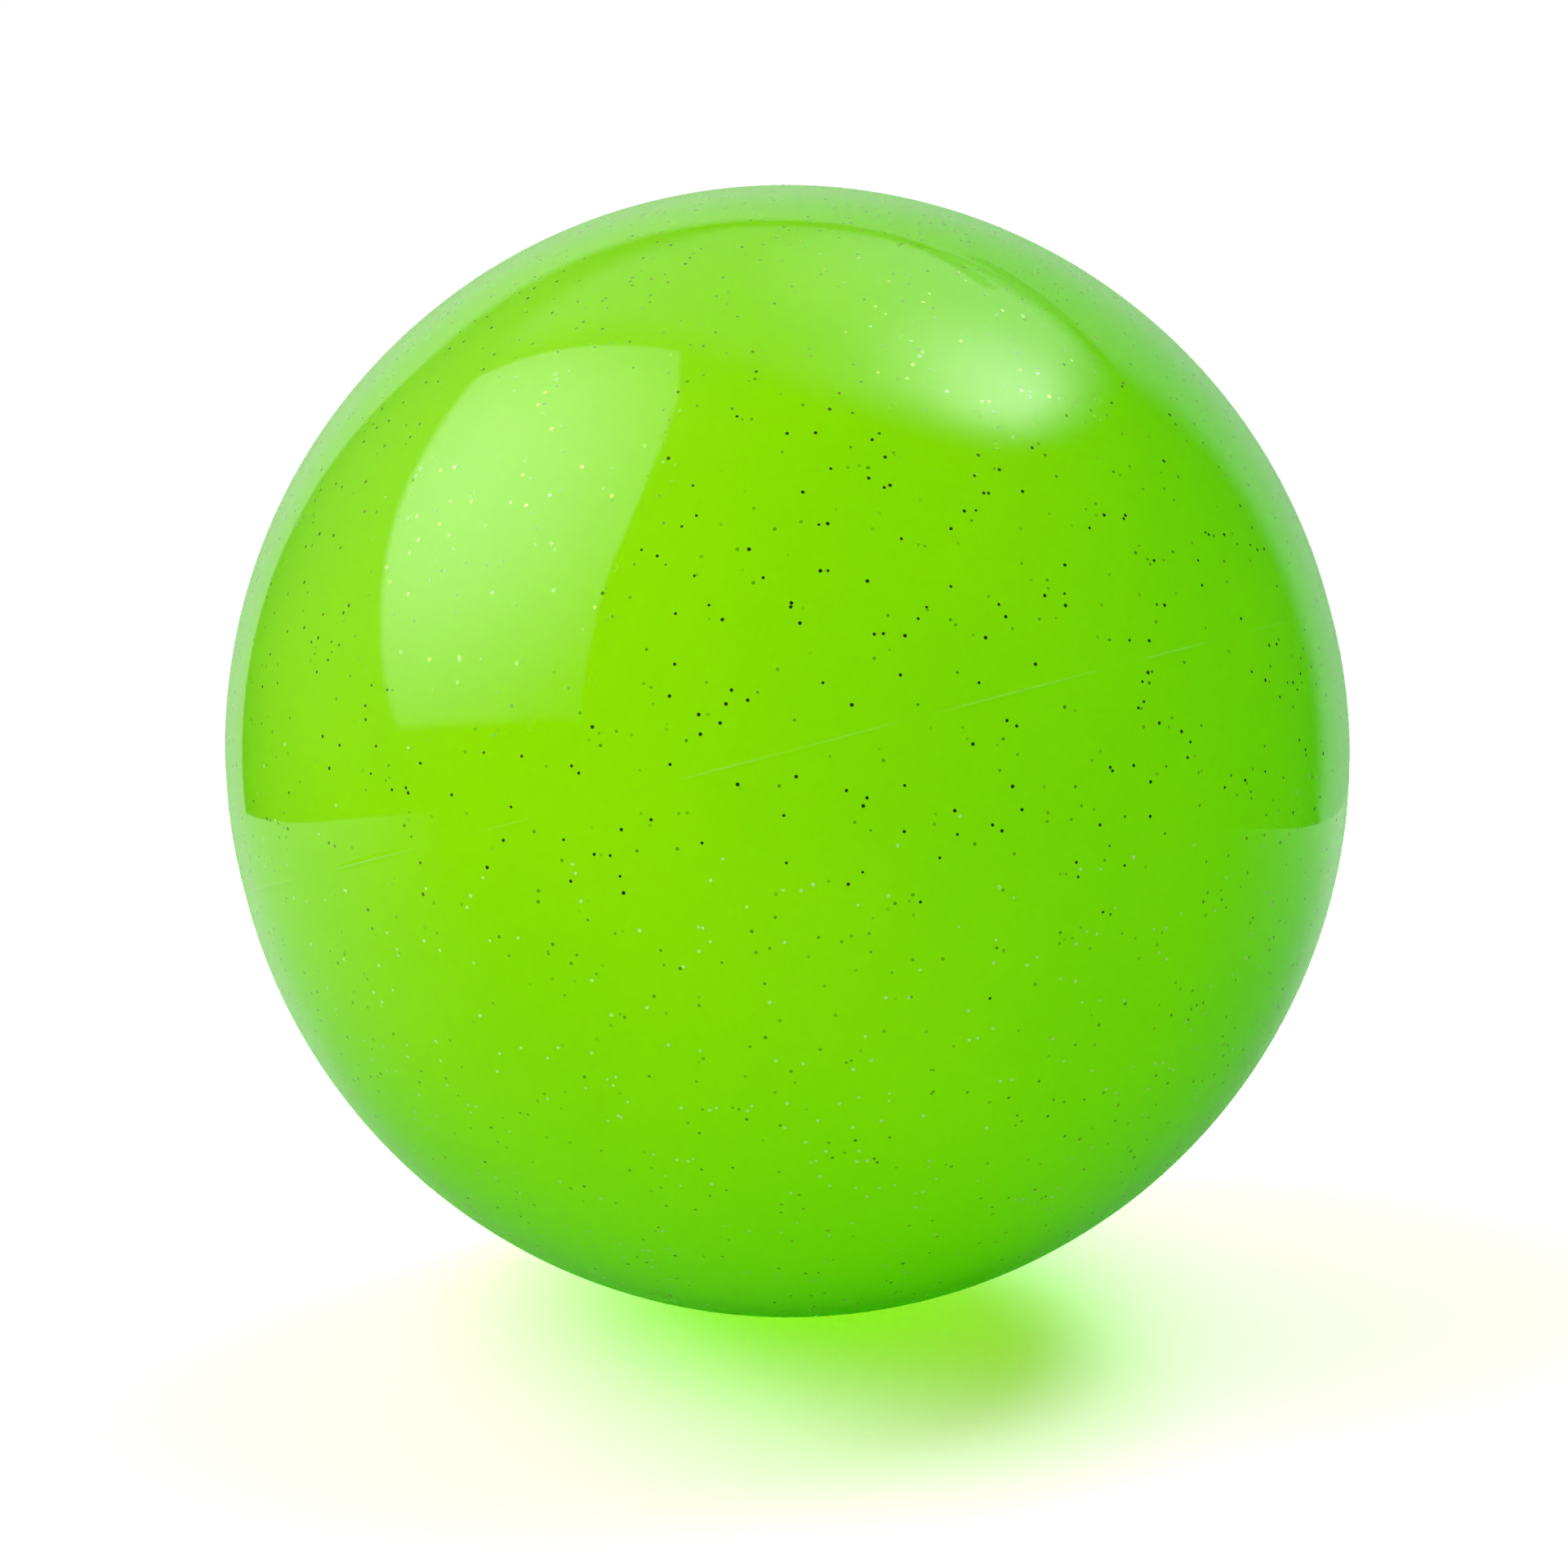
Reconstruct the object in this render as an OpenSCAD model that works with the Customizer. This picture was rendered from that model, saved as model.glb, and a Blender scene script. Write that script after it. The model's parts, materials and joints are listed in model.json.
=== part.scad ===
// Seamless moulded vinyl ball, lying as it was set down, with its pull-out stopper.
// Millimetres. +Z is up, and the origin is the centre of the ball.
// The ball is a body of revolution about the mould axis, which leans away from +Z.
// The parting line of the two mould cups is its equator, and the valve is at its upper pole.

/* [Ball] */
// Diameter across the parting plane
ball_d = 229; // [180:1:300]
// Height of the straight land between the two mould cups, which makes the ball longer along its axis
land_h = 2.2; // [0.6:0.1:4]
// Thickness of the moulded wall
wall_t = 1.2; // [0.8:0.1:2]
// Height of the flash that stands along the parting line
flash_h = 0.2; // [0.1:0.05:0.4]
// Width of the flash
flash_w = 0.5; // [0.3:0.1:0.6]

/* [How it lies] */
// Lean of the mould axis towards -X, degrees
lean_left = 14.6; // [0:0.1:45]
// Lean of the mould axis towards +Y, degrees
lean_back = 15; // [0:0.5:45]

/* [Valve seat] */
// Bore that the stopper goes into
bore_d = 5.2; // [4.6:0.1:6]
// Length of the seat, from its upper face to its inner end
seat_l = 13; // [10:0.5:20]
// Outside diameter of the seat's barrel
barrel_d = 10; // [8:0.5:12]
// Diameter of the flange that the wall is cast around
flange_d = 21; // [19:0.5:26]
// Thickness of the flange
flange_t = 1.6; // [1.2:0.1:2]

/* [Stopper] */
// Diameter of the stopper's head
head_d = 13; // [11:0.5:14]
// Thickness of the head
head_t = 1.8; // [1.6:0.1:2.4]
// Diameter of the shank
shank_d = 4.2; // [3.6:0.1:4.4]
// Number of sealing ribs around the shank
rib_count = 4; // [2:1:4]
// Gap between a rib and the bore, on the radius
rib_gap = 0.04; // [0.02:0.01:0.1]

/* [Hidden] */
$fn = 96;
// The ball's own surface is large, and is drawn finer
ball_fn = 180;
eps = 0.01;

ball_r = ball_d / 2;
inner_r = ball_r - wall_t;
pole_z = ball_r + land_h / 2;

// The recess that the head sits in
recess_r = head_d / 2 + 0.5;
head_sink = 0.4;
head_top_z = pole_z - head_sink;
recess_floor_z = head_top_z - head_t;

// The notch beside the recess, where a fingernail gets under the head
notch_r = 3;
notch_x = recess_r + 1;
notch_floor_z = recess_floor_z + 0.5;

// The boss is the extra plastic that the wall carries around the seat's flange
boss_skin = 1.6;
boss_r = flange_d / 2 + boss_skin;
boss_skirt_r = boss_r + 8;
boss_floor_z = recess_floor_z - flange_t - boss_skin;

bore_r = bore_d / 2;
seat_end_z = recess_floor_z - seat_l;
lead_in = 0.6;

// The head has a rounded edge, an undercut lip and a dimple in its top
head_r = head_d / 2;
head_round = 0.6;
lip_undercut = 0.7;
head_foot_r = head_r - 1.2;
dimple_r = 3;
dimple_depth = 0.5;

// The shank reaches a little past the seat and is hollow from its tip, so that it can squeeze in
shank_r = shank_d / 2;
shank_end_z = seat_end_z - 1;
tip_l = 3;
tip_r = 1.5;
core_r = 1;
core_l = seat_l * 0.7;
rib_r = bore_r - rib_gap;
rib_l = 1;
rib_pitch = (seat_l - 3) / rib_count;
first_rib_z = recess_floor_z - 3;

// Height of the wall's inner face above the parting plane, at a distance from the mould axis
function inner_face_z(r) = land_h / 2 + sqrt(inner_r * inner_r - r * r);

// Turns a shape from the mould's own frame, with its axis upright, to how the ball lies
module as_it_lies() {
    rotate([-lean_back, 0, 0]) rotate([0, -lean_left, 0]) children();
}

// Half of the outline of a ball made in two round cups that stand apart by the land
module cup_profile(r) {
    intersection() {
        union() {
            for (side = [-1, 1]) translate([0, side * land_h / 2]) circle(r = r, $fn = ball_fn);
            translate([-r, -land_h / 2]) square([2 * r, land_h]);
        }
        translate([0, -2 * r]) square([2 * r, 4 * r]);
    }
}

module cup_solid(r) {
    rotate_extrude($fn = ball_fn) cup_profile(r);
}

// The thin fin that squeezes out between the two halves of the mould
module flash() {
    rotate_extrude($fn = ball_fn)
        polygon([
            [ball_r - wall_t / 2, -flash_w / 2],
            [ball_r, -flash_w / 2],
            [ball_r + flash_h, 0],
            [ball_r, flash_w / 2],
            [ball_r - wall_t / 2, flash_w / 2]
        ]);
}

// The plastic that pools around the seat: a disc whose skirt slopes into the wall
module boss() {
    intersection() {
        cup_solid(ball_r - wall_t / 2);
        rotate_extrude()
            polygon([
                [0, pole_z],
                [0, boss_floor_z],
                [boss_r, boss_floor_z],
                [boss_skirt_r, inner_face_z(boss_skirt_r) + wall_t / 4],
                [boss_skirt_r, pole_z]
            ]);
    }
}

module head_recess() {
    translate([0, 0, recess_floor_z]) cylinder(r = recess_r, h = pole_z);
    translate([notch_x, 0, notch_floor_z]) cylinder(r = notch_r, h = pole_z);
}

module seat_body() {
    translate([0, 0, recess_floor_z - flange_t]) cylinder(d = flange_d, h = flange_t);
    translate([0, 0, seat_end_z]) cylinder(d = barrel_d, h = seat_l);
}

// The hollow ball, cast in one piece around the seat
module shell() {
    color("#86dc00", 0.85) as_it_lies() difference() {
        union() {
            difference() {
                cup_solid(ball_r);
                cup_solid(inner_r);
            }
            flash();
            boss();
        }
        head_recess();
        seat_body();
    }
}

// The seat is moulded first and cast into the wall: a flange, a barrel and the stopper's bore
module valve_seat() {
    color("#a9e85a") as_it_lies() difference() {
        seat_body();
        translate([0, 0, seat_end_z - 1]) cylinder(r = bore_r, h = seat_l + 2);
        translate([0, 0, recess_floor_z - lead_in])
            cylinder(r1 = bore_r, r2 = bore_r + lead_in + eps, h = lead_in + eps);
    }
}

module stopper_head() {
    rotate_extrude()
        polygon([
            [0, recess_floor_z],
            [head_foot_r, recess_floor_z],
            [head_foot_r, recess_floor_z + lip_undercut],
            [head_r, recess_floor_z + lip_undercut],
            [head_r, head_top_z - head_round],
            [head_r - head_round, head_top_z],
            [dimple_r + dimple_depth, head_top_z],
            [dimple_r, head_top_z - dimple_depth],
            [0, head_top_z - dimple_depth]
        ]);
}

// Each rib slopes on the side that goes in first, and its square side holds it in
module stopper_shank() {
    straight_z = shank_end_z + tip_l;
    translate([0, 0, shank_end_z]) cylinder(r1 = tip_r, r2 = shank_r, h = tip_l);
    translate([0, 0, straight_z]) cylinder(r = shank_r, h = recess_floor_z - straight_z + eps);
    for (i = [0 : rib_count - 1])
        translate([0, 0, first_rib_z - i * rib_pitch])
            cylinder(r1 = shank_r, r2 = rib_r, h = rib_l);
}

module stopper() {
    color("white") as_it_lies() difference() {
        union() {
            stopper_head();
            stopper_shank();
        }
        translate([0, 0, shank_end_z - 1]) cylinder(r = core_r, h = core_l + 1);
    }
}

shell();
valve_seat();
stopper();
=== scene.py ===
"""A moulded play ball of translucent glitter vinyl with a pull-out stopper, built round its CAD frame.

Metres and degrees. The ball's own pieces are turned about the mould axis: they are made in the mould's
frame, where that axis is upright, and laid over as the CAD ball lies. Studio directions are
(azimuth, elevation) from the ball, where azimuth 0 is the camera's side and 90 is +X.
"""
import json
import math
import random

import bpy
from mathutils import Matrix, Vector, noise


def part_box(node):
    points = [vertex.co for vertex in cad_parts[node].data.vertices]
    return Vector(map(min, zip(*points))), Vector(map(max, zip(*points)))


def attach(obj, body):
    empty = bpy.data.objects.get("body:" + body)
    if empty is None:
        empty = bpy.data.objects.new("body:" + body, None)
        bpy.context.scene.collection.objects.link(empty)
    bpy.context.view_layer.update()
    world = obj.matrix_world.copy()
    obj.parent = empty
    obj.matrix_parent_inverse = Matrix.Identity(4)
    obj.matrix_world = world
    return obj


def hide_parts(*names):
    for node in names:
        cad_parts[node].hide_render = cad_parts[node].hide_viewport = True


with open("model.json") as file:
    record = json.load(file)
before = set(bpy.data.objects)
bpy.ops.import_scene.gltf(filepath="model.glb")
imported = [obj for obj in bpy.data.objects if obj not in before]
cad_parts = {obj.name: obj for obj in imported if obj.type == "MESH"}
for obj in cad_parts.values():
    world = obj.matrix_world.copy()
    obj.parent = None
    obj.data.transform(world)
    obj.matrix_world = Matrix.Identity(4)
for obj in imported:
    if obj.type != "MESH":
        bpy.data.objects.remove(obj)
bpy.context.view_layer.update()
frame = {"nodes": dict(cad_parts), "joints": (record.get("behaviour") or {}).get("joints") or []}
scene = bpy.context.scene
MM = 0.001

# ---------------------------------------------------------------- sizes, from the frame where it has them

pull = next(j for j in frame["joints"] if j["name"] == "stopper_pull")
mould_axis = Vector(pull["axis"]).normalized()
mould_y = mould_axis.cross(Vector((1, 0, 0))).normalized()
mould_x = mould_y.cross(mould_axis)
mould_to_row = Matrix((mould_x, mould_y, mould_axis)).transposed().to_4x4()

# Two round cups stand apart by a straight land, so the ball's box gives both sizes
shell_lo, shell_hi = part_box("shell")
ball_centre = (shell_lo + shell_hi) / 2
half_size = (shell_hi - shell_lo) / 2
half_land = (half_size.z - half_size.x) / (mould_axis.z - abs(mould_axis.x))
cup_r = half_size.z - half_land * mould_axis.z
pole_z = cup_r + half_land
floor_z = shell_lo.z

FLASH_H = 0.14 * MM
FLASH_W = 0.5 * MM
FLASH_LEAST = 0.04
RECESS_R = 7.0 * MM
RECESS_DEPTH = 2.2 * MM
RIM_R = 0.35 * MM
NOTCH_R = 3.0 * MM
NOTCH_X = 8.0 * MM
NOTCH_STEP = 0.5 * MM
CAP_R = 2.6 * RECESS_R
FLAKE_R = 0.38 * MM
FLAKE_T = 0.05 * MM
FLAKE_LIFT = 0.022 * MM
FLAKE_COUNT = 4800
NEAR_SHARE = 0.42
recess_floor_z = pole_z - RECESS_DEPTH

# ---------------------------------------------------------------- node helpers


def new_tree(name):
    """A new material and its empty node tree."""
    made = bpy.data.materials.new(name)
    made.use_nodes = True
    made.node_tree.nodes.clear()
    return made, made.node_tree


def node(tree, kind, inputs=None, **settings):
    """Adds a node. inputs maps a socket's name or number to a plain value or to another node's output."""
    made = tree.nodes.new(kind)
    for key, value in settings.items():
        setattr(made, key, value)
    for key, value in (inputs or {}).items():
        if isinstance(value, bpy.types.NodeSocket):
            tree.links.new(value, made.inputs[key])
        else:
            made.inputs[key].default_value = value
    return made


def maths(tree, operation, first, second=0.0):
    return node(tree, "ShaderNodeMath", {0: first, 1: second}, operation=operation).outputs[0]


def ramp(tree, value, low, high, to_low=0.0, to_high=1.0, kind="SMOOTHSTEP"):
    """Runs from to_low to to_high while value runs from low to high, and stays level outside."""
    inputs = {0: value, 1: low, 2: high, 3: to_low, 4: to_high}
    return node(tree, "ShaderNodeMapRange", inputs, interpolation_type=kind).outputs[0]


def blend(tree, factor, first, second):
    """A colour between two colours."""
    return node(tree, "ShaderNodeMix", {0: factor, 6: first, 7: second}, data_type="RGBA").outputs[2]


def dot(tree, vector, constant):
    made = node(tree, "ShaderNodeVectorMath", {0: vector, 1: tuple(constant)}, operation="DOT_PRODUCT")
    return made.outputs["Value"]


def grain(tree, place, size, detail=2.0):
    """Noise whose blotches are about size metres across."""
    inputs = {"Vector": place, "Scale": 1 / size, "Detail": detail}
    return node(tree, "ShaderNodeTexNoise", inputs).outputs[0]


def object_place(tree):
    """The shaded point, in the object's own metres."""
    return node(tree, "ShaderNodeTexCoord").outputs["Object"]


def stored(tree, name):
    """Numbers that the mesh keeps at its points."""
    return node(tree, "ShaderNodeAttribute", attribute_name=name)


# ---------------------------------------------------------------- materials

VINYL_IOR = 1.46
GLOSS_MOST = 0.4
THROUGH_SHARE = 0.68
LIME = (0.80, 0.95, 0.0, 1)
LIME_FADED = (0.74, 0.90, 0.0, 1)
LIME_THROUGH = (0.03, 0.93, 0.0, 1)
FLASH_PALE = (0.9, 1.0, 0.25, 1)
SHADE = (0.56, 0.47, 0.12, 1)


def ring_marks(tree, place):
    """Faint rings 1.7 mm across where flakes lie just under the skin: 1 on a ring's line, 0 elsewhere."""
    cells = node(tree, "ShaderNodeTexVoronoi", {"Vector": place, "Scale": 1 / (4 * MM)})
    off_line = maths(tree, "ABSOLUTE", maths(tree, "SUBTRACT", cells.outputs["Distance"], 0.21))
    line = ramp(tree, off_line, 0.0, 0.03, 1.0, 0.0)
    picked = maths(tree, "GREATER_THAN", dot(tree, cells.outputs["Color"], (1, 0, 0)), 0.8)
    return maths(tree, "MULTIPLY", line, picked)


def vinyl_material():
    """Glossy lime vinyl that lets light through. Shadow rays from outside pass through the whole ball, so
    that its shadow is tinted. Those from inside are stopped: the wall's own glow carries their light."""
    made, tree = new_tree("glitter_vinyl")
    place = object_place(tree)
    colour = blend(tree, ramp(tree, grain(tree, place, 45 * MM, 3.0), 0.35, 0.65), LIME, LIME_FADED)
    colour = blend(tree, stored(tree, "flash").outputs["Fac"], colour, FLASH_PALE)
    peel = grain(tree, place, 1.2 * MM)
    skin = node(tree, "ShaderNodeBump", {"Height": peel, "Strength": 0.03, "Distance": 0.1 * MM}).outputs[0]
    rings = ring_marks(tree, place)
    skin = node(tree, "ShaderNodeBump", {
        "Height": rings, "Strength": 0.25, "Distance": 0.05 * MM, "Normal": skin,
    }).outputs[0]
    solid = node(tree, "ShaderNodeBsdfPrincipled", {
        "Base Color": colour, "Roughness": 0.5, "Specular IOR Level": 0.0,
        "Sheen Weight": 0.5, "Sheen Roughness": 0.5, "Sheen Tint": (0.0, 1.0, 0.0, 1),
    }).outputs[0]
    through = node(tree, "ShaderNodeBsdfTranslucent", {"Color": LIME_THROUGH}).outputs[0]
    body = node(tree, "ShaderNodeMixShader", {0: THROUGH_SHARE, 1: solid, 2: through}).outputs[0]
    gloss = node(tree, "ShaderNodeBsdfGlossy", {"Color": (1, 1, 1, 1), "Roughness": 0.025, "Normal": skin})
    inner_face = node(tree, "ShaderNodeNewGeometry").outputs["Backfacing"]
    share = node(tree, "ShaderNodeFresnel", {"IOR": VINYL_IOR, "Normal": skin}).outputs[0]
    share = maths(tree, "MINIMUM", share, GLOSS_MOST)
    share = maths(tree, "MULTIPLY", share, maths(tree, "SUBTRACT", 1.0, inner_face))
    glossy = node(tree, "ShaderNodeMixShader", {0: share, 1: body, 2: gloss.outputs[0]}).outputs[0]
    path = node(tree, "ShaderNodeLightPath")
    first = maths(tree, "LESS_THAN", path.outputs["Transparent Depth"], 0.5)
    stopped = maths(tree, "MULTIPLY", first, inner_face)
    clear = node(tree, "ShaderNodeBsdfTransparent", {"Color": blend(tree, stopped, SHADE, (0, 0, 0, 1))})
    shown = node(tree, "ShaderNodeMixShader", {
        0: path.outputs["Is Shadow Ray"], 1: glossy, 2: clear.outputs[0],
    }).outputs[0]
    node(tree, "ShaderNodeOutputMaterial", {"Surface": shown})
    return made


def flake_material():
    """Foil flakes at all depths. A flake's veil tells how much lime vinyl lies over it: up to 0.2 is bare
    metal, 0.3 to 0.4 is dull foil, which the near flakes low on the ball get to carry a painted reflection
    of the floor, and from 0.5 the foil is seen only through vinyl."""
    made, tree = new_tree("glitter_flakes")
    tint = stored(tree, "tint").outputs["Color"]
    veil = stored(tree, "veil").outputs["Fac"]
    wear = grain(tree, object_place(tree), 0.15 * MM)
    foil = blend(tree, ramp(tree, wear, 0.35, 0.65, 0.0, 0.25), tint, (0.2, 0.4, 0.08, 1))
    veiled = blend(tree, ramp(tree, veil, 0.5, 1.0), (0.03, 0.24, 0.0, 1), (0.22, 0.72, 0.0, 1))
    solid = node(tree, "ShaderNodeBsdfPrincipled", {
        "Base Color": blend(tree, ramp(tree, veil, 0.4, 0.5), foil, veiled),
        "Metallic": ramp(tree, veil, 0.2, 0.3, 1.0, 0.0),
        "Roughness": ramp(tree, wear, 0.3, 0.7, 0.12, 0.25),
        "Coat Weight": 1.0, "Coat IOR": VINYL_IOR, "Coat Roughness": 0.025,
    }).outputs[0]
    node(tree, "ShaderNodeOutputMaterial", {"Surface": solid})
    return made


def plastic_material(name, colour, deeper, roughness):
    """Moulded plastic with cloudy colour and a fine grain."""
    made, tree = new_tree(name)
    place = object_place(tree)
    cloud = ramp(tree, grain(tree, place, 3 * MM, 3.0), 0.3, 0.7)
    fine = grain(tree, place, 0.3 * MM)
    dimpled = node(tree, "ShaderNodeBump", {"Height": fine, "Strength": 0.2, "Distance": 0.05 * MM})
    solid = node(tree, "ShaderNodeBsdfPrincipled", {
        "Base Color": blend(tree, cloud, colour, deeper),
        "Roughness": ramp(tree, fine, 0.3, 0.7, roughness - 0.06, roughness + 0.06),
        "Normal": dimpled.outputs[0],
    }).outputs[0]
    node(tree, "ShaderNodeOutputMaterial", {"Surface": solid})
    return made


def floor_material():
    """White paper. The camera sees it overexposed. It lights the ball, and shows in the ball's gloss, with
    painted shade that makes it darker towards the front in both."""
    made, tree = new_tree("floor_paper")
    overexposed = 1.52
    backward = dot(tree, object_place(tree), (-0.26, 0.97, 0))
    # Painted shade: the paper's colour for the light it throws on the ball is darker towards the front.
    lit = ramp(tree, backward, -0.28, 0.2, 0.45, 0.85)
    # Painted shade in the ball's reflection: the paper as the gloss sees it darkens towards the front.
    mirrored_painted_shade = ramp(tree, backward, -0.16, 0.24, 0.05, 0.65)
    path = node(tree, "ShaderNodeLightPath")
    paper = ramp(tree, grain(tree, object_place(tree), 0.4 * MM), 0.3, 0.7, 0.98, 1.0)
    level = ramp(tree, path.outputs["Is Glossy Ray"], 0.0, 1.0, lit, mirrored_painted_shade)
    level = maths(tree, "MULTIPLY", paper, level)
    photographed = maths(tree, "MULTIPLY", path.outputs["Is Camera Ray"], overexposed)
    level = maths(tree, "MAXIMUM", level, photographed)
    colour = node(tree, "ShaderNodeCombineColor", {0: level, 1: level, 2: level}).outputs[0]
    solid = node(tree, "ShaderNodeBsdfDiffuse", {"Color": colour}).outputs[0]
    node(tree, "ShaderNodeOutputMaterial", {"Surface": solid})
    return made


# ---------------------------------------------------------------- the ball


def new_piece(name, points, faces, material):
    """A piece of the ball, made in the mould's frame and laid over."""
    mesh = bpy.data.meshes.new(name)
    mesh.from_pydata(points, [], faces)
    mesh.transform(mould_to_row)
    mesh.materials.append(material)
    mesh.update()
    piece = bpy.data.objects.new(name, mesh)
    scene.collection.objects.link(piece)
    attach(piece, "ball")
    return piece


def store(piece, name, values):
    """Keeps a number at each of the mesh's points."""
    piece.data.attributes.new(name, "FLOAT", "POINT").data.foreach_set("value", values)


def store_colours(piece, name, colours):
    """Keeps a colour at each of the mesh's points."""
    layer = piece.data.attributes.new(name, "FLOAT_COLOR", "POINT")
    layer.data.foreach_set("color", [part for colour in colours for part in (*colour, 1.0)])


def arc(centre, radius, start, end, steps):
    """Points on an arc, from start to end degrees, measured from the across direction."""
    found = []
    for i in range(steps + 1):
        angle = math.radians(start + (end - start) * i / steps)
        found.append((centre[0] + radius * math.cos(angle), centre[1] + radius * math.sin(angle)))
    return found


def unevenness(outward):
    """How far the blown-up skin stands off true in one direction from the ball's middle."""
    return 0.06 * MM * noise.noise(outward * 2.2) + 0.022 * MM * noise.noise(outward * 9)


def cup_point(outward, cup, lift=0.0):
    """A point of the skin, outward from its cup's middle. cup is 1 for the upper cup, -1 for the lower."""
    return outward * (cup_r + unevenness(outward) + lift) + Vector((0, 0, cup * half_land))


def flash_left(angle):
    """The share of the flash that trimming left standing."""
    patchy = noise.noise(Vector((math.cos(angle), math.sin(angle), 0)) * 6)
    return min(1.0, max(FLASH_LEAST, 0.15 + 1.7 * patchy))


def recess_reach(angle):
    """The recess's radius towards angle: its round wall, or the finger notch let into that."""
    off_axis = NOTCH_X * math.sin(angle)
    if math.cos(angle) < 0 or abs(off_axis) >= NOTCH_R:
        return RECESS_R
    return max(RECESS_R, NOTCH_X * math.cos(angle) + math.sqrt(NOTCH_R ** 2 - off_axis ** 2))


def cap_column(angle):
    """From well outside the recess, over its rim and down to the seat, as (distance from axis, height)."""
    reach = recess_reach(angle)
    edge = reach + RIM_R
    skin = [CAP_R + (edge - CAP_R) * i / 10 for i in range(11)]
    column = [(radius, half_land + math.sqrt(cup_r ** 2 - radius ** 2)) for radius in skin]
    column += arc((edge, column[-1][1] - RIM_R), RIM_R, 90, 180, 5)[1:]
    column.append((reach, recess_floor_z + NOTCH_STEP))
    column.append((RECESS_R, recess_floor_z + NOTCH_STEP - 0.1 * MM))
    column.append((RECESS_R, recess_floor_z - 0.2 * MM))
    return column


def build_skin(material):
    """The ball's skin from its lower pole, over the flash, to the recess round the valve."""
    turns, rows, sharp = 480, 84, 62
    cap_from = math.degrees(math.acos(CAP_R / cup_r))
    lower = arc((0, 0), 1, -90, 0, rows)[1:]
    upper = arc((0, 0), 1, 0, cap_from, rows)[:-1]
    points, flash = [cup_point(Vector((0, 0, -1)), -1)], [0.0]
    for k in range(turns):
        angle = 2 * math.pi * k / turns
        across = Vector((math.cos(angle), math.sin(angle), 0))
        left = flash_left(angle)
        points += [cup_point(across * radius + Vector((0, 0, height)), -1) for radius, height in lower]
        for height, stands in ((-FLASH_W / 2, 0), (0, FLASH_H * left), (FLASH_W / 2, 0)):
            points.append(across * (cup_r + unevenness(across) + stands) + Vector((0, 0, height)))
        flash += [0.0] * (rows + 1) + [left]
        points += [cup_point(across * radius + Vector((0, 0, height)), 1) for radius, height in upper]
        for radius, height in cap_column(angle):
            point = across * radius + Vector((0, 0, height))
            outward = (point - Vector((0, 0, half_land))).normalized()
            points.append(point + outward * unevenness(outward))
        flash += [0.0] * (len(points) - len(flash))
    height = (len(points) - 1) // turns
    faces = []
    for k in range(turns):
        here = 1 + k * height
        there = 1 + (k + 1) % turns * height
        faces.append((0, there, here))
        faces += [(here + i, there + i, there + i + 1, here + i + 1) for i in range(height - 1)]
    piece = new_piece("ball_skin", points, faces, material)
    piece.data.shade_smooth()
    piece.data.set_sharp_from_angle(angle=math.radians(sharp))
    store(piece, "flash", flash)
    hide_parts("shell")
    return piece


FLAKE_TINTS = [
    (0.35, 0.85, 0.12), (0.45, 0.75, 0.10), (0.22, 0.80, 0.18), (0.42, 0.80, 0.07), (0.28, 0.90, 0.12),
]
# Pale tint for near flakes low on the ball: a painted reflection of the lit floor.
FLAKE_PAINTED_FLOOR_REFLECTION = (0.46, 0.98, 0.26)


def build_flakes(material):
    """Six-sided foil flakes set into the skin, scattered evenly, each turned and tipped its own way. Those
    near the surface are bare metal high on the ball; low on it they are painted pale and dull, a painted
    reflection of the lit floor."""
    rng = random.Random(11)
    points, faces, tints, veils = [], [], [], []
    for _ in range(FLAKE_COUNT):
        height = rng.uniform(-1, 1)
        angle = rng.uniform(0, 2 * math.pi)
        across = math.sqrt(1 - height * height)
        outward = Vector((across * math.cos(angle), across * math.sin(angle), height))
        tip = Matrix.Rotation(math.radians(rng.gauss(0, 2)), 3, outward.orthogonal())
        spin = rng.uniform(0, math.pi / 3)
        size = FLAKE_R * rng.uniform(0.75, 1.1)
        tint = rng.choice(FLAKE_TINTS)
        near = rng.random() < NEAR_SHARE
        veil = rng.uniform(0, 0.2) if near else rng.uniform(0.5, 0.95)
        # Near flakes low on the ball get a pale, dull tint: a painted reflection of the lit floor below.
        if near and (mould_to_row @ outward).z < rng.gauss(0.05, 0.1):
            tint, veil = FLAKE_PAINTED_FLOOR_REFLECTION, 0.35
        if outward.z * cup_r > cup_r - 2 * MM or abs(height) < 0.01:
            continue
        top = cup_point(outward, math.copysign(1, height), FLAKE_LIFT)
        side = outward.orthogonal().normalized()
        other = outward.cross(side)
        first = len(points)
        points.append(top)
        for drop in (0, FLAKE_T):
            for k in range(6):
                turn = spin + math.pi / 3 * k
                corner = tip @ (side * math.cos(turn) + other * math.sin(turn)) * size
                points.append(top + corner - outward * drop)
        for k in range(6):
            here, there = first + 1 + k, first + 1 + (k + 1) % 6
            faces += [(first, here, there), (here, here + 6, there + 6, there)]
        faces.append(tuple(first + 12 - k for k in range(6)))
        added = len(points) - first
        tints += [tint] * added
        veils += [veil] + [veil if near else (veil + 1) / 2] * (added - 1)
    piece = new_piece("glitter_flakes", points, faces, material)
    store_colours(piece, "tint", tints)
    store(piece, "veil", veils)
    return piece


# ---------------------------------------------------------------- the studio


def direction(azimuth, elevation):
    """The unit vector from the ball towards a place in the studio."""
    a, e = math.radians(azimuth), math.radians(elevation)
    return Vector((math.sin(a) * math.cos(e), -math.cos(a) * math.cos(e), math.sin(e)))


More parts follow.
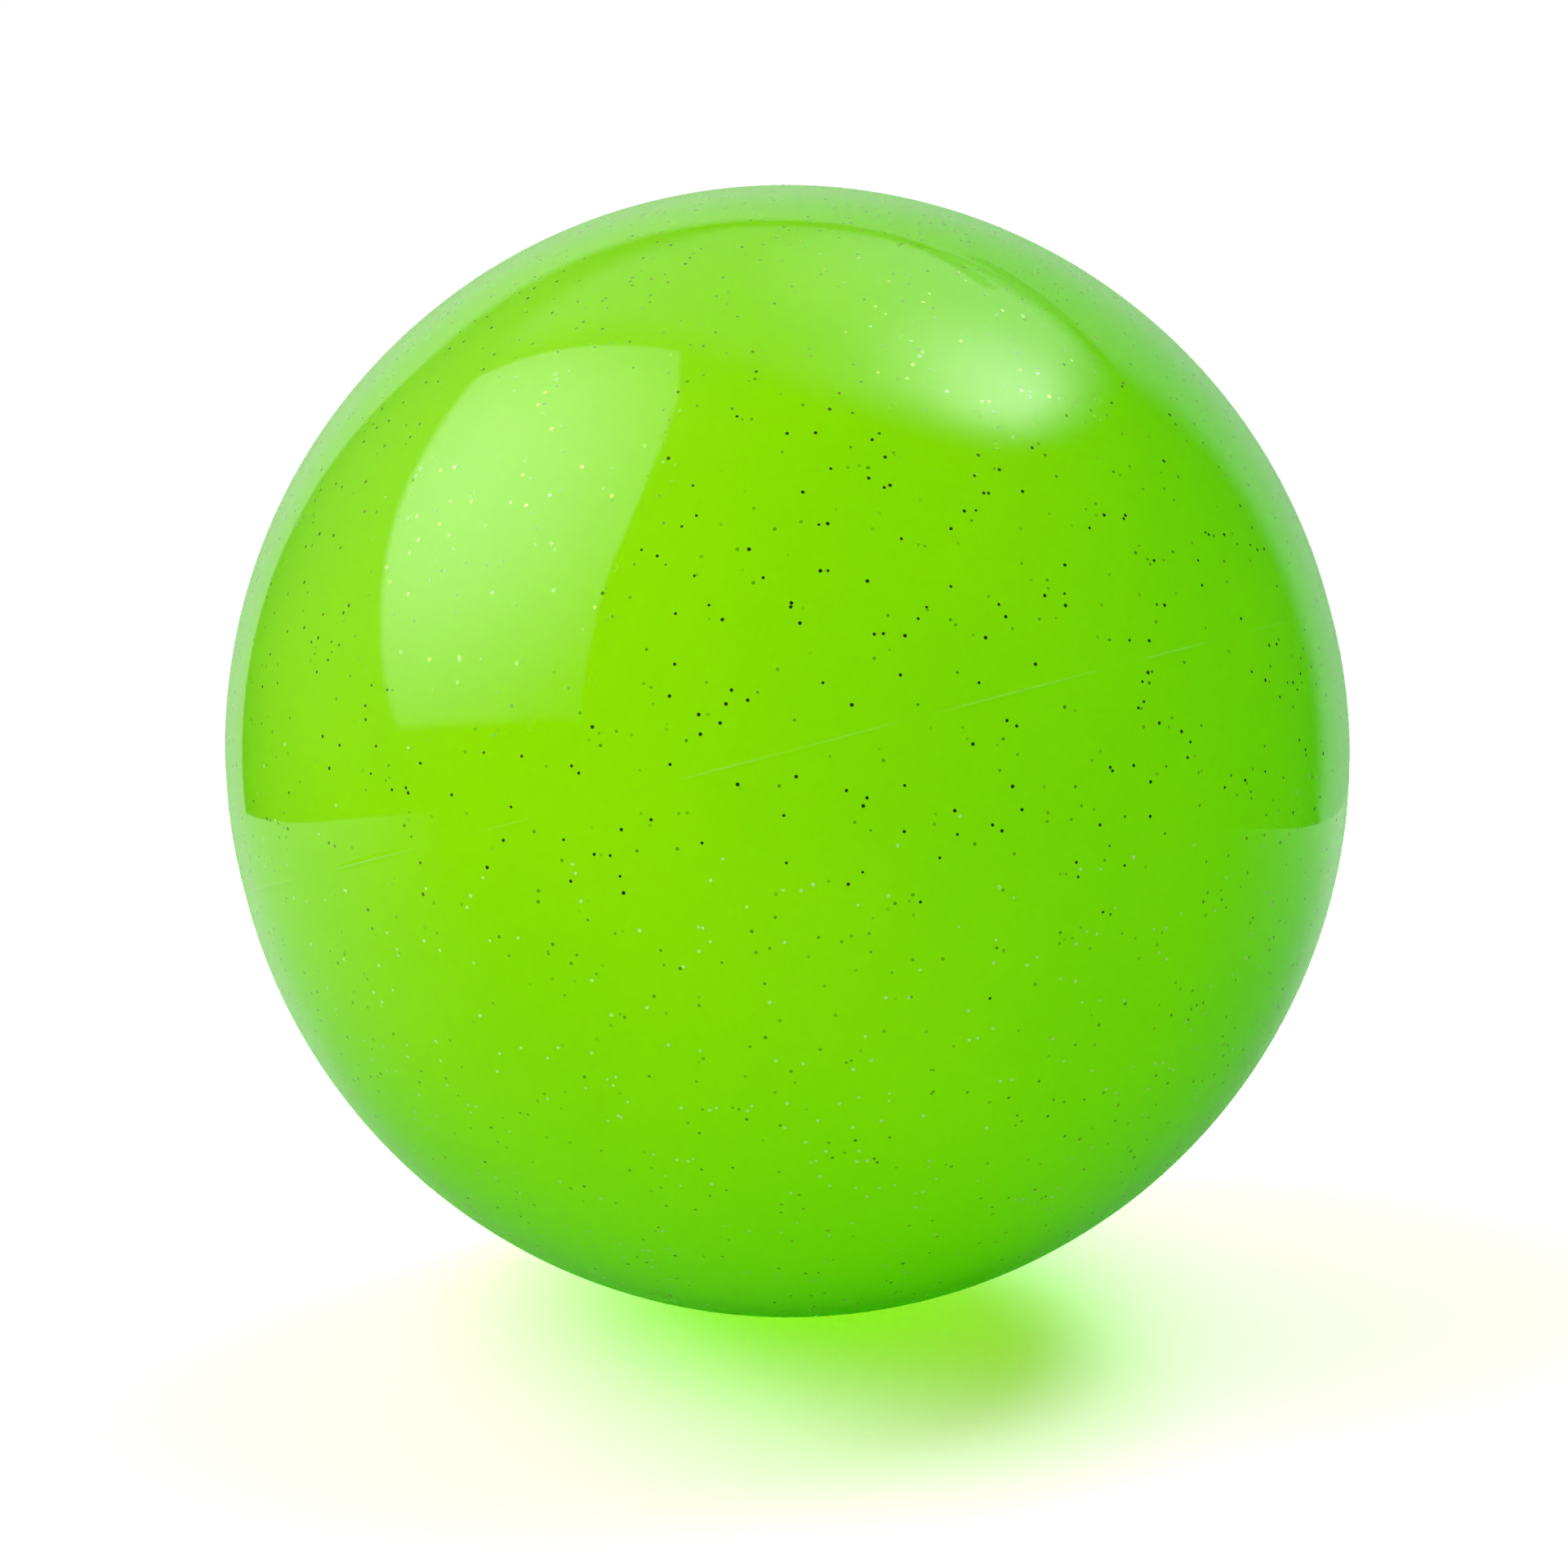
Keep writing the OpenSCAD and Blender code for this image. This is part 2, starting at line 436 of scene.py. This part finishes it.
def window(tree, ray, corners, blurs):
    """1 where ray points into a lit panel, 0 outside. Each side has its own blur, in the corners' order."""
    towards = [direction(*corner) for corner in corners]
    middle = sum(towards, Vector((0, 0, 0)))
    shown = 1.0
    for here, there, blur in zip(towards, towards[1:] + towards[:1], blurs):
        inward = there.cross(here).normalized()
        if inward.dot(middle) < 0:
            inward.negate()
        shown = maths(tree, "MULTIPLY", shown, ramp(tree, dot(tree, ray, inward), -blur, blur))
    return shown


def glow(tree, ray, centre, far, low, high, fall=1):
    """high where ray points at centre, and low from far degrees away. A higher fall drops off sooner."""
    towards = dot(tree, ray, direction(*centre))
    shown = ramp(tree, towards, math.cos(math.radians(far)), 1.0, kind="LINEAR")
    shown = maths(tree, "POWER", shown, fall)
    return maths(tree, "ADD", maths(tree, "MULTIPLY", shown, high - low), low)


def seam(tree, ray, start, end):
    """1 where ray points into the narrow strip that joins two directions."""
    half_width = 1.3
    corners = [
        (start[0], start[1] - half_width), (start[0], start[1] + half_width),
        (end[0], end[1] + half_width), (end[0], end[1] - half_width),
    ]
    return window(tree, ray, corners, (0.012,) * len(corners))


def build_studio():
    """A soft box on the left, a bright diffuser behind on the right with dark seams along its lower edge,
    white card behind and a dark room in front."""
    world = bpy.data.worlds.new("studio")
    scene.world = world
    world.use_nodes = True
    tree = world.node_tree
    tree.nodes.clear()
    ray = node(tree, "ShaderNodeTexCoord").outputs["Generated"]
    room_level, gain = 0.035, 1.2
    box_corners = [(-133, 69), (-97, 73), (-68, 68), (-54, 57), (-43, 16), (-85, 4), (-134, 35)]
    box_blurs = (0.01, 0.01, 0.01, 0.01, 0.02, 0.02, 0.01)
    diffuser_corners = [(75, 82), (-140, 82), (-140, 36), (180, 32), (142, 32), (114, 45), (94, 57)]
    diffuser_blurs = (0.09, 0.09, 0.07, 0.08, 0.1, 0.095, 0.125)
    card_corners = [(-147, 14), (-152, 25), (180, 31), (142, 34), (136, -28), (180, -28), (-145, -28)]
    card_blurs = (0.02, 0.02, 0.045, 0.1, 0.01, 0.01, 0.02)
    box = window(tree, ray, box_corners, box_blurs)
    diffuser = window(tree, ray, diffuser_corners, diffuser_blurs)
    card = window(tree, ray, card_corners, card_blurs)
    hot = glow(tree, ray, (109, 53), 33, 0.0, 3.7, 3.5)
    wide = glow(tree, ray, (127, 45), 40, 0.33, 1.45)
    lit = [
        (box, glow(tree, ray, (-93, 40), 48, 0.24, 3.4, 1.75)),
        (maths(tree, "SUBTRACT", 1.0, box), glow(tree, ray, (-115, 35), 62, 0.0, 0.28, 2)),
        (diffuser, maths(tree, "ADD", hot, wide)),
        (card, ramp(tree, dot(tree, ray, (-1, 0, 0)), -0.6, 0.6, 0.41, 0.56)),
    ]
    seams = [((-171, 31), (165, 33.5)), ((167, 33), (154, 37.5)), ((163, 29), (141, 29.5))]
    total = room_level
    for shape, level in lit:
        shining = maths(tree, "MULTIPLY", maths(tree, "MULTIPLY", shape, level), gain)
        total = maths(tree, "ADD", total, shining)
    for start, end in seams:
        total = maths(tree, "MULTIPLY", total, ramp(tree, seam(tree, ray, start, end), 0.0, 1.0, 1.0, 0.5))
    seen = node(tree, "ShaderNodeLightPath").outputs["Is Camera Ray"]
    background = node(tree, "ShaderNodeBackground", {"Strength": maths(tree, "MAXIMUM", total, seen)})
    background.inputs["Color"].default_value = (1, 1, 1, 1)
    node(tree, "ShaderNodeOutputWorld", {"Surface": background.outputs[0]})


def build_floor(material):
    """A table whose two straight back edges meet behind the ball."""
    corners = [(-1.7, -2.5), (1.7, -2.5), (1.7, -0.85), (0, 0.55), (-1.7, -0.85)]
    mesh = bpy.data.meshes.new("floor")
    mesh.from_pydata([(x, y, floor_z) for x, y in corners], [], [range(len(corners))])
    mesh.materials.append(material)
    floor = bpy.data.objects.new("floor", mesh)
    scene.collection.objects.link(floor)
    return floor


def fill_light(name, pieces, azimuth, elevation, level):
    """A soft light on some pieces alone, which gloss doesn't show. level is how brightly it would light
    white paper that faces it."""
    distance, size = 2.0, 0.8
    data = bpy.data.lights.new(name, "AREA")
    data.shape = "DISK"
    data.size = size
    data.energy = level * math.pi ** 2 * distance ** 2
    light = bpy.data.objects.new(name, data)
    scene.collection.objects.link(light)
    towards = direction(azimuth, elevation)
    light.location = towards * distance
    light.rotation_euler = towards.to_track_quat("Z", "Y").to_euler()
    light.visible_camera = False
    light.visible_glossy = False
    lit = bpy.data.collections.new("lit_by_" + name)
    for piece in pieces:
        lit.objects.link(piece)
    light.light_linking.receiver_collection = lit


def build_camera():
    """The ball's outline fills ball_share of the frame, a little above its middle."""
    elevation, distance, ball_share = 15, 1.2, 0.719
    outline_r = cup_r + half_land / 2
    data = bpy.data.cameras.new("camera")
    camera = bpy.data.objects.new("camera", data)
    scene.collection.objects.link(camera)
    scene.camera = camera
    back = direction(0, elevation)
    up = back.cross(Vector((1, 0, 0)))
    aim = ball_centre - up * 0.058 * outline_r - Vector((0.006 * outline_r, 0, 0))
    camera.location = ball_centre + back * distance
    camera.rotation_euler = (aim - camera.location).to_track_quat("-Z", "Y").to_euler()
    data.sensor_width = 36
    data.lens = data.sensor_width / 2 * ball_share * math.sqrt(distance ** 2 - outline_r ** 2) / outline_r
    data.clip_start, data.clip_end = 0.05, 20


skin = build_skin(vinyl_material())
flakes = build_flakes(flake_material())
seat, stopper = frame["nodes"]["valve_seat"], frame["nodes"]["stopper"]
seat_look = plastic_material("seat_vinyl", (0.45, 0.78, 0.12, 1), (0.36, 0.72, 0.08, 1), 0.3)
stopper_look = plastic_material("stopper_plastic", (0.86, 0.87, 0.83, 1), (0.79, 0.81, 0.76, 1), 0.4)
seat.material_slots[0].material = seat_look
stopper.material_slots[0].material = stopper_look
floor = build_floor(floor_material())
build_studio()
fill_light("front_fill", [skin, flakes, seat, stopper], 0, 15, 0.5)
fill_light("left_fill", [skin, flakes, seat, stopper], -60, 0, 0.15)
fill_light("floor_fill", [floor], 155, 30, 0.32)
build_camera()
scene.view_settings.view_transform = "Standard"
scene.cycles.max_bounces = 16
scene.cycles.diffuse_bounces = 12
